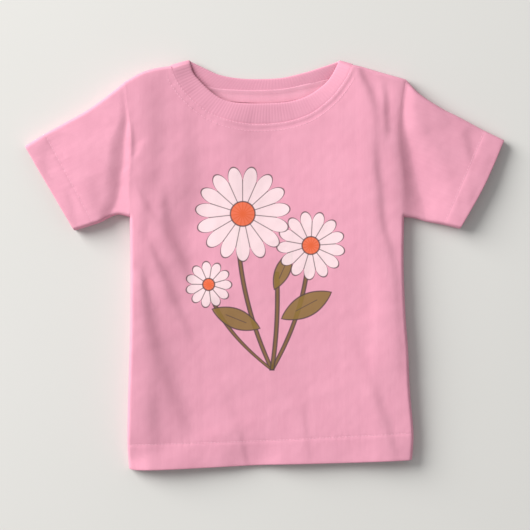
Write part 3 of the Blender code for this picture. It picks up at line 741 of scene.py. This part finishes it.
front_count = FRONT_RIDGES * POINTS_PER_RIDGE
back_count = (RIDGES_ROUND - FRONT_RIDGES) * POINTS_PER_RIDGE + 2
seam_ring = ring_of(band_line(NECK_SEAM, front_count),
                    band_line(BACK_SEAM, back_count, BACK_SEAM_HEIGHTS))
edge_ring = ring_of(band_line(NECK_EDGE, front_count, FRONT_EDGE_HEIGHTS, is_edge=True),
                    band_line(BACK_EDGE, back_count, BACK_EDGE_HEIGHTS, is_edge=True))
run = edge_ring - seam_ring
seam_ring = seam_ring - run / np.linalg.norm(run, axis=1, keepdims=True) * BAND_ALLOWANCE * MM
run = edge_ring - seam_ring
tangent = np.roll(edge_ring + seam_ring, -3, axis=0) - np.roll(edge_ring + seam_ring, 3, axis=0)
facing = np.cross(tangent, run)
for _ in range(FACING_ROUNDS):
    facing = facing / np.linalg.norm(facing, axis=1, keepdims=True)
    facing = (np.roll(facing, 1, axis=0) + 2 * facing + np.roll(facing, -1, axis=0)) / 4
facing = facing / np.linalg.norm(facing, axis=1, keepdims=True)
width = np.linalg.norm(run, axis=1)[:, None]
direction = run / width
ridge = np.cos(2 * math.pi * np.arange(len(run)) / POINTS_PER_RIDGE)[:, None]
loop = [*HALF_LOOP, *((share, -half) for share, half in HALF_LOOP[-2::-1])]
rows = []
for share, half in loop:
    lift = half * (RIB_HALF + RIB_RIDGE * ridge * min(1, 8 * share)) * MM
    end = 1 + FOLD_RIDGE * ridge * (share > 0.9)
    rows.append(seam_ring + direction * width * share * end + facing * lift)
band = np.array(rows + rows[:1])
band = np.concatenate([band, band[:, :1]], axis=1)
count = np.arange(band.shape[1])[None, :] / POINTS_PER_RIDGE * RIB_PITCH * MM + 0 * band[..., 0]
depth = np.cumsum(np.linalg.norm(np.diff(band, axis=0, prepend=band[:1]), axis=-1), axis=0)
neckband = cloth_from_grid("shirt_neckband", band, np.stack([count, depth], axis=-1), merge=True)

# %% [markdown]
# ## The neck tape
# Inside the neck, a strip of the same jersey covers the back seam so that it doesn't rub. It lies on the
# back panel, just below the band, and its upper edge is caught by the seam. It is a little wider on the
# wearer's left, where it was sewn on askew, and its upper edge stands up over the end of the band.

# %% Neck tape
TAPE_WIDTH, TAPE_TAPER, TAPE_CLOTH = 10.7, 0.024, 0.7
TAPE_HEIGHT, TAPE_CROWN, TAPE_RISE, TAPE_WAVE = 1.6, 0.25, 1.2, 0.05
tape_top = smooth(BACK_SEAM, 160)[18:-18] + (0, 0.8)
tape_share = np.array([0, 0.03, 0.1, 0.3, 0.5, 0.7, 0.9, 0.97, 1.0])[:, None, None]
tape_width = TAPE_WIDTH + TAPE_TAPER * tape_top[:, 0]
tape_plan = tape_top - np.stack([0 * tape_width, tape_width], axis=-1) * (1 - tape_share)
up_tape = tape_share[..., 0]
crown = TAPE_HEIGHT + TAPE_CROWN * np.sin(math.pi * up_tape) ** 0.5
crown = crown + TAPE_RISE * eased((up_tape - 0.6) / 0.35)
crown = crown + TAPE_WAVE * np.sin(np.arange(len(tape_top)) / 2.5)
tape_grid = np.concatenate([tape_plan, crown[..., None]], axis=-1) * MM
tape = cloth_from_grid("neck_tape_strip", tape_grid, tape_grid[..., :2], TAPE_CLOTH)

# %% [markdown]
# ## Stitches
# A row of machine stitches is one small stitch repeated. The stitch is a sphere drawn out into a grain of
# rice, because at this size nothing more would show. It is copied along each seam, every copy turned along
# the seam and set down in its groove, and the copies of a row are then joined into one piece.

# %% Stitch rows
from mathutils import Matrix, Vector

STITCH_PITCH, STITCH_LENGTH, STITCH_WIDTH, STITCH_HEIGHT = 2.7, 2.2, 0.6, 0.26
STITCH_LIFT = 0.06


def one_stitch():
    """A single stitch along X, its middle at the origin."""
    deselect()
    bpy.ops.mesh.primitive_uv_sphere_add(segments=6, ring_count=4, radius=0.5)
    stitch = bpy.context.object
    bpy.ops.object.mode_set(mode="EDIT")
    bpy.ops.transform.rotate(value=math.pi / 2, orient_axis="Y", center_override=(0, 0, 0))
    bpy.ops.transform.resize(value=(STITCH_LENGTH * MM, STITCH_WIDTH * MM, STITCH_HEIGHT * MM),
                             center_override=(0, 0, 0))
    bpy.ops.object.mode_set(mode="OBJECT")
    bpy.ops.object.shade_smooth()
    return stitch


def stitch_row(name, lines):
    """Stitches along lines of 3-D points, in metres."""
    stitch, copies = one_stitch(), []
    for line in lines:
        length = run_of(line)[-1] / MM
        shares = (np.arange(int(length / STITCH_PITCH)) + 0.5) * STITCH_PITCH / length
        half = 0.5 * STITCH_LENGTH / length
        for a, b in zip(resample(line, shares - half), resample(line, shares + half)):
            along = Vector(b - a).normalized()
            over = Vector((0, 0, 1)).cross(along).normalized()
            turn = Matrix((along, over, along.cross(over))).transposed().to_4x4()
            copy = stitch.copy()
            copy.data = stitch.data.copy()
            copy.matrix_world = Matrix.Translation(Vector((a + b) / 2)) @ turn
            bpy.context.scene.collection.objects.link(copy)
            copies.append(copy)
    bpy.data.objects.remove(stitch)
    deselect()
    for copy in copies:
        copy.select_set(True)
    bpy.context.view_layer.objects.active = copies[0]
    bpy.ops.object.join()
    row = bpy.context.object
    bpy.ops.object.transform_apply(location=True, rotation=True, scale=True)
    row.name = row.data.name = name
    print(name, len(copies), "stitches")
    return row


def on_cloth(line, side=None):
    """A plan line laid on the cloth, a hair above it."""
    return upper(line, side) + (0, 0, STITCH_LIFT * MM)


def beside(line, distance):
    """A plan line moved sideways, to the right of its direction."""
    tangent = np.gradient(line, axis=0)
    tangent /= np.linalg.norm(tangent, axis=1, keepdims=True)
    return line + np.stack([tangent[:, 1], -tangent[:, 0]], axis=1) * distance


neck_lines = [on_cloth(beside(smooth(NECK_SEAM, 400), row)[14:-14]) for row in NECK_ROWS]
neck_stitches = stitch_row("neck_stitches", neck_lines)
hem_stitches = stitch_row("hem_stitches", [on_cloth(smooth(HEM_STITCH, 200)[3:-3])])
cuff_lines = [on_cloth(resample(CUFF_ROWS[s], np.linspace(0.02, 0.98, 80)), s) for s in (0, 1)]
cuff_stitches = [stitch_row(f"cuff_stitches_{n}", [line]) for n, line in zip(("right", "left"), cuff_lines)]

# %% [markdown]
# ## Writing materials as sums
# A knit pattern is arithmetic on the cloth's own map: so many wales across, so many courses down. Written
# as nodes it takes dozens of boxes, so a small class lets a socket be added, multiplied and bent like a
# number, and each operation adds the Math node that it needs.

# %% Arithmetic on sockets
class Wire:
    """One output socket. Arithmetic on it adds Math nodes."""

    def __init__(self, finish, socket):
        self.finish, self.socket = finish, socket

    def math(self, operation, *others, first=None):
        """A Math node on this socket and others, or on first and this socket."""
        values = [self, *others] if first is None else [first, self]
        return self.finish.node("ShaderNodeMath", {"operation": operation}, dict(enumerate(values)))

    def __add__(self, other): return self.math("ADD", other)
    def __radd__(self, other): return self.math("ADD", other)
    def __sub__(self, other): return self.math("SUBTRACT", other)
    def __rsub__(self, other): return self.math("SUBTRACT", first=other)
    def __mul__(self, other): return self.math("MULTIPLY", other)
    def __rmul__(self, other): return self.math("MULTIPLY", other)
    def __truediv__(self, other): return self.math("DIVIDE", other)
    def __pow__(self, other): return self.math("POWER", other)
    def __abs__(self): return self.math("ABSOLUTE")
    def sin(self): return self.math("SINE")
    def fract(self): return self.math("FRACT")
    def least(self, other): return self.math("MINIMUM", other)
    def most(self, other): return self.math("MAXIMUM", other)

    def step(self, low, high):
        """0 at low and below, 1 at high and above, smooth between."""
        return self.finish.node("ShaderNodeMapRange", {"interpolation_type": "SMOOTHSTEP"},
                                {"Value": self, "From Min": low, "From Max": high})


class Finish:
    """A material being made."""

    def __init__(self, name, **constants):
        self.material = bpy.data.materials.new(name)
        self.material.use_nodes = True
        self.tree = self.material.node_tree
        self.shader = self.tree.nodes["Principled BSDF"]
        for socket, value in constants.items():
            self.shader.inputs[socket.replace("_", " ")].default_value = value

    def node(self, kind, settings=None, sockets=None, out=0):
        """A node of any kind: its settings first, and then the values or links of its sockets."""
        node = self.tree.nodes.new(kind)
        for name, value in (settings or {}).items():
            setattr(node, name, value)
        for name, value in (sockets or {}).items():
            if isinstance(value, Wire):
                self.tree.links.new(value.socket, node.inputs[name])
            else:
                node.inputs[name].default_value = value
        return Wire(self, node.outputs[out])

    def link(self, wire, socket):
        self.tree.links.new(wire.socket, self.shader.inputs[socket])

    def mix(self, a, b, share):
        """Colour a where share is 0 and b where it is 1."""
        return self.node("ShaderNodeMix", {"data_type": "RGBA"}, {0: share, 6: a, 7: b}, out=2)

    def noise(self, vector, scale, detail=2.0):
        return self.node("ShaderNodeTexNoise", {}, {"Vector": vector, "Scale": scale, "Detail": detail})

    def cloth_map(self):
        """The cloth's own map, in millimetres, and as a vector in metres."""
        uv = self.node("ShaderNodeTexCoord", out="UV")
        parts = [self.node("ShaderNodeSeparateXYZ", {}, {0: uv}, out=k) * 1000 for k in (0, 1)]
        return uv, *parts

    def bump(self, height, distance, strength):
        return self.node("ShaderNodeBump", {}, {"Height": height, "Distance": distance, "Strength": strength})


def colour(red, green, blue):
    """A colour as a screen shows it, 0 to 255, in the linear numbers that a shader wants."""
    linear = [((c / 255 + 0.055) / 1.055) ** 2.4 if c > 10 else c / 255 / 12.92 for c in (red, green, blue)]
    return (*linear, 1.0)


print("a mid pink is", [round(c, 2) for c in colour(229, 161, 182)[:3]], "in linear numbers")

# %% [markdown]
# ## Jersey
# The right side of jersey is all wales: upright chains of little V-shaped loops, about twelve to the
# centimetre. The wrong side is rows of small bumps. The chains are a bump map on the cloth's own map, so
# they follow each piece as it was cut. Over them come faint upright streaks, where the yarn is a little
# thicker or thinner, and soft clouds of a slightly deeper dye. A trace of sheen stands for the fuzz of
# loose fibres.

# %% Jersey finish
PINK, PINK_DEEP = colour(235, 166, 187), colour(226, 155, 177)
WALE, COURSE = 0.82, 0.66
# How fast the streaks change, per millimetre, across the wales and along them
STREAK_ACROSS, STREAK_ALONG = 0.55, 0.05
COTTON = {"Roughness": 0.92, "Sheen_Weight": 0.06, "Sheen_Roughness": 0.5, "Specular_IOR_Level": 0.2}


def knit_height(u, v):
    """The right side of jersey: two slanted legs of a loop in each wale."""
    leg = abs((u / WALE).fract() - 0.5) * 2
    course = (v / COURSE + leg * 0.8).fract()
    return (leg * math.pi).sin() * 0.8 + (course * math.pi).sin() * 0.4


def jersey(name, right_side=True, base=PINK, deep=PINK_DEEP):
    """Jersey seen from one side. It keeps its plain colour and its map at hand for a print."""
    f = Finish(name, **COTTON)
    uv, u, v = f.cloth_map()
    stretched = f.node("ShaderNodeCombineXYZ", {}, {0: u * STREAK_ACROSS, 1: v * STREAK_ALONG, 2: 0.0})
    streaks = f.noise(stretched, 1.0, 2.0)
    clouds = f.noise(uv, 45.0, 3.0)
    shade = (streaks - 0.5) * 0.5 + (clouds - 0.5) * 0.7 + 0.4
    plain = f.mix(base, deep, shade.step(0.0, 1.0))
    height = knit_height(u, v) if right_side else ((v / COURSE).fract() * math.pi).sin()
    f.cloth = (f, u, v, plain)
    f.link(plain, "Base Color")
    f.link(f.bump(height + streaks * 0.6, 0.00012, 0.8), "Normal")
    return f


inside_finish = jersey("jersey_wrong_side", False, colour(222, 152, 174), colour(212, 140, 163))
plain_finish = jersey("jersey_right_side")
print("wales per centimetre", round(10 / WALE, 1))

# %% [markdown]
# ## The print
# The front carries a printed posy: three daisies, their stems and leaves, drawn with a thin dark line and
# filled with flat colour, about as large as a grown hand. Screen ink sits on the knit, so it hides the dye
# but not the wales. Each flower is a sum in polar coordinates: a wave in the angle gives the petals, and
# the distance from the edge of that wave gives both the fill and the line round it.

# %% Posy
INK, PETAL, YOLK = colour(84, 66, 70), colour(248, 222, 226), colour(236, 104, 58)
LEAF, STEM = colour(142, 112, 58), colour(122, 96, 52)
LINE, PETAL_LINE, FINE_LINE = 0.55, 0.35, 0.3
FILL_COVER, LINE_COVER = 0.93, 0.85
FILL_BLUR, LINE_BLUR = 0.2, 0.25
STEM_HALF = 1.5
# Shares of a daisy's radius: the notch between two petals, the yolk, and where the lines between petals end
PETAL_NOTCH, YOLK_SIZE, PETAL_LINE_END = 0.42, 0.26, 0.72
# Added to a distance where no line is wanted
FAR = 9
# The stems' one foot, and each stem's top and how far it bows to the right
STEM_FOOT = (6, -86)
STEMS = (((-22, 34), -7), ((36, 8), 6), ((-46, -18), -9), ((10, -6), 2))
# Each leaf's foot, its direction in degrees, its length and half its width
LEAVES = (((-4, -52), 158, 42, 8), ((14, -44), 28, 46, 9), ((8, -20), 66, 34, 6))
# Each daisy's middle, its radius, its number of petals and how far it is turned, in radians
DAISIES = (((-46, -16), 19, 11, 0.3), ((38, 16), 28, 13, 0.9), ((-18, 42), 39, 15, 0.1))


class Drawing:
    """A picture built up in layers on a plain cloth."""

    def __init__(self, f, u, v, ground):
        self.f, self.u, self.v, self.paint = f, u, v, ground

    def lay(self, inside, fill):
        """Fill where inside, in millimetres, is above 0, and draw a line round the edge."""
        self.paint = self.f.mix(self.paint, fill, inside.step(-FILL_BLUR, FILL_BLUR) * FILL_COVER)
        self.line(abs(inside))

    def line(self, distance, width=LINE):
        """A line where distance, in millimetres, is less than width."""
        cover = (0 - distance).step(-width - LINE_BLUR, -width + LINE_BLUR) * LINE_COVER
        self.paint = self.f.mix(self.paint, INK, cover)

    def stem(self, top, foot, bow):
        """A stem from top to foot that bows sideways in its middle."""
        share = ((self.v - foot[1]) / (top[1] - foot[1])).most(0).least(1)
        middle = foot[0] + share * (top[0] - foot[0]) + share * (1 - share) * (4 * bow)
        ends = (self.v - foot[1]).least(top[1] - self.v)
        self.lay((STEM_HALF - abs(self.u - middle)).least(ends), STEM)

    def leaf(self, foot, angle, length, half):
        """A pointed leaf with a vein along it that stops short of both ends."""
        x, y = self.u - foot[0], self.v - foot[1]
        along = x * math.cos(angle) + y * math.sin(angle)
        over = y * math.cos(angle) - x * math.sin(angle)
        share = (along / length).most(0).least(1)
        side = (share * math.pi).sin() ** 0.8 * half
        self.lay((side - abs(over)).least(along).least(length - along), LEAF)
        self.line(abs(over) + ((share - 0.5) ** 2 * 16).step(0.75, 1.0) * FAR, FINE_LINE)

    def daisy(self, centre, radius, petals, turn):
        """Petals, the fine lines between them, and the yellow middle."""
        x, y = self.u - centre[0], self.v - centre[1]
        reach = (x * x + y * y) ** 0.5
        angle = self.f.node("ShaderNodeMath", {"operation": "ARCTAN2"}, {0: y, 1: x}) + turn
        lobe = abs((angle * (petals / 2)).sin())
        self.lay((lobe ** 0.45) * (radius * PETAL_NOTCH) + radius * (1 - PETAL_NOTCH) - reach, PETAL)
        between = lobe * reach * (2 / petals) + (reach - radius * PETAL_LINE_END).step(0, 2) * FAR
        self.line(between, PETAL_LINE)
        self.lay(radius * YOLK_SIZE - reach, YOLK)


def posy(f, u, v, plain):
    """Three daisies on four stems that meet at one foot, with three leaves, laid from back to front."""
    d = Drawing(f, u, v, plain)
    for top, bow in STEMS:
        d.stem(top, STEM_FOOT, bow)
    for foot, degrees, length, half in LEAVES:
        d.leaf(foot, math.radians(degrees), length, half)
    for centre, radius, petals, turn in DAISIES:
        d.daisy(centre, radius, petals, turn)
    return d.paint


front_finish = jersey("jersey_printed")
front_finish.link(posy(*front_finish.cloth), "Base Color")
print("posy of", len(front_finish.tree.nodes), "nodes")

# %% [markdown]
# ## Rib, tape and thread
# The rib's ridges are in its mesh, so its finish only adds what is finer: the loops along each ridge, and
# painted shade down in the grooves, a darker colour where less light would reach. The tape is the same jersey
# a shade lighter, and the thread is smoother and shinier than the cloth, as spun polyester is.

# %% Rib, tape and thread finishes
def rib():
    f = Finish("rib", **COTTON)
    uv, u, v = f.cloth_map()
    ridge = ((u / RIB_PITCH + 0.25).fract() * 2 * math.pi).sin() * 0.5 + 0.5
    clouds = f.noise(uv, 60.0, 3.0)
    # Painted shade: the colour turns darker down in the grooves between the ridges, and also in soft clouds of
    # deeper dye
    shade = (1 - ridge) * 0.2 + (clouds - 0.5) * 0.6 + 0.08
    f.link(f.mix(colour(227, 159, 180), colour(210, 138, 161), shade.step(0.0, 1.0)), "Base Color")
    loops = ((v / 0.7 + ridge * 0.3).fract() * math.pi).sin()
    f.link(f.bump(loops, 0.0001, 0.6), "Normal")
    return f


def thread():
    f = Finish("thread", Roughness=0.55, Specular_IOR_Level=0.35)
    place = f.node("ShaderNodeTexCoord", out="Object")
    f.link(f.mix(colour(244, 185, 203), colour(236, 174, 194), f.noise(place, 900.0, 1.0)), "Base Color")
    return f


rib_finish, thread_finish = rib(), thread()
tape_finish = jersey("tape", True, colour(243, 177, 197), colour(234, 166, 187))
print("rib of", len(rib_finish.tree.nodes), "nodes, thread of", len(thread_finish.tree.nodes))


def dress(obj, *finishes):
    """Give a piece its materials: the right side first, and then the wrong side."""
    obj.data.materials.clear()
    for finish in finishes:
        obj.data.materials.append(finish.material)


dress(front, front_finish, inside_finish)
for piece in (back, sleeve_right, sleeve_left):
    dress(piece, plain_finish, inside_finish)
dress(neckband, rib_finish)
dress(tape, tape_finish, inside_finish)
for piece in (neck_stitches, hem_stitches, *cuff_stitches):
    dress(piece, thread_finish)

# %% [markdown]
# ## Tie the pieces to the solid model
# Each piece stands for one or more solids of the model, which are hidden, and is attached to the root body.

# %% Pieces
def tie(piece, slot, *nodes):
    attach(piece, "root")
    if nodes:
        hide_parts(*nodes)
    print(piece.name, "stands for", ", ".join(nodes) or "no solid")


tie(front, "pink_jersey", "front_panel", "hem_front")
tie(back, "pink_jersey", "back_panel", "hem_back")
tie(sleeve_right, "pink_jersey", "sleeve_right", "cuff_right")
tie(sleeve_left, "pink_jersey", "sleeve_left", "cuff_left")
tie(neckband, "pink_rib", "collar")
tie(tape, "pink_tape", "neck_tape")
for piece in (neck_stitches, hem_stitches, *cuff_stitches):
    tie(piece, "pink_jersey")

# %% [markdown]
# ## Floor, light and camera
# The shirt was photographed from straight above on a pale warm surface. One broad lamp stands low on the
# upper left, about 30 degrees over the table. A low light shows every drag as a light and a dark side, and
# a broad one keeps the shadows soft. The floor gets a little darker away from it, and a dim room fills the
# shadows.

# %% Floor
FLOOR_SIZE = 4
deselect()
bpy.ops.mesh.primitive_plane_add(size=FLOOR_SIZE)
floor = bpy.context.object
floor.name = "floor"
floor_finish = Finish("pale_floor", Roughness=0.85, Specular_IOR_Level=0.2)
floor_place = floor_finish.node("ShaderNodeTexCoord", out="Object")
floor_finish.link(floor_finish.mix(colour(218, 217, 214), colour(214, 213, 209),
                                   floor_finish.noise(floor_place, 3.0)), "Base Color")
dress(floor, floor_finish)
print("floor", FLOOR_SIZE, "m wide")

# %% Light
LAMP_PLACE, LAMP_WIDTH, LAMP_WATTS, LAMP_TINT = (-2.938, 1.836, 2.0), 3.2, 254.0, (1.0, 0.99, 0.975)
ROOM_TINT, ROOM_STRENGTH = (0.985, 0.99, 1.0, 1.0), 0.41


def lamp(name, place, aim, size, watts, tint):
    """A round area light at place that points at aim."""
    light = bpy.data.lights.new(name, "AREA")
    light.shape, light.size, light.energy, light.color = "DISK", size, watts, tint
    obj = bpy.data.objects.new(name, light)
    obj.location = place
    obj.rotation_euler = (Vector(aim) - Vector(place)).to_track_quat("-Z", "Y").to_euler()
    bpy.context.scene.collection.objects.link(obj)


lamp("key", LAMP_PLACE, (0, 0, 0), LAMP_WIDTH, LAMP_WATTS, LAMP_TINT)
world = bpy.data.worlds.new("soft_room")
bpy.context.scene.world = world
world.use_nodes = True
room = world.node_tree.nodes["Background"]
room.inputs["Color"].default_value, room.inputs["Strength"].default_value = ROOM_TINT, ROOM_STRENGTH
bpy.context.scene.view_settings.view_transform = "Standard"
print("lamp", round(math.degrees(math.atan2(LAMP_PLACE[2], math.hypot(*LAMP_PLACE[:2])))), "degrees up")

# %% Camera
# The width that the picture shows at the height of the cloth
VIEW_WIDTH, CLOTH_LEVEL, CAMERA_HEIGHT = 434.6 * MM, 0.010, 1.8
camera = bpy.data.cameras.new("camera")
camera.lens = camera.sensor_width * (CAMERA_HEIGHT - CLOTH_LEVEL) / VIEW_WIDTH
camera_object = bpy.data.objects.new("camera", camera)
camera_object.location = (0.3 * MM, 0.0, CAMERA_HEIGHT)
bpy.context.scene.collection.objects.link(camera_object)
bpy.context.scene.camera = camera_object
print("lens", round(camera.lens), "mm")
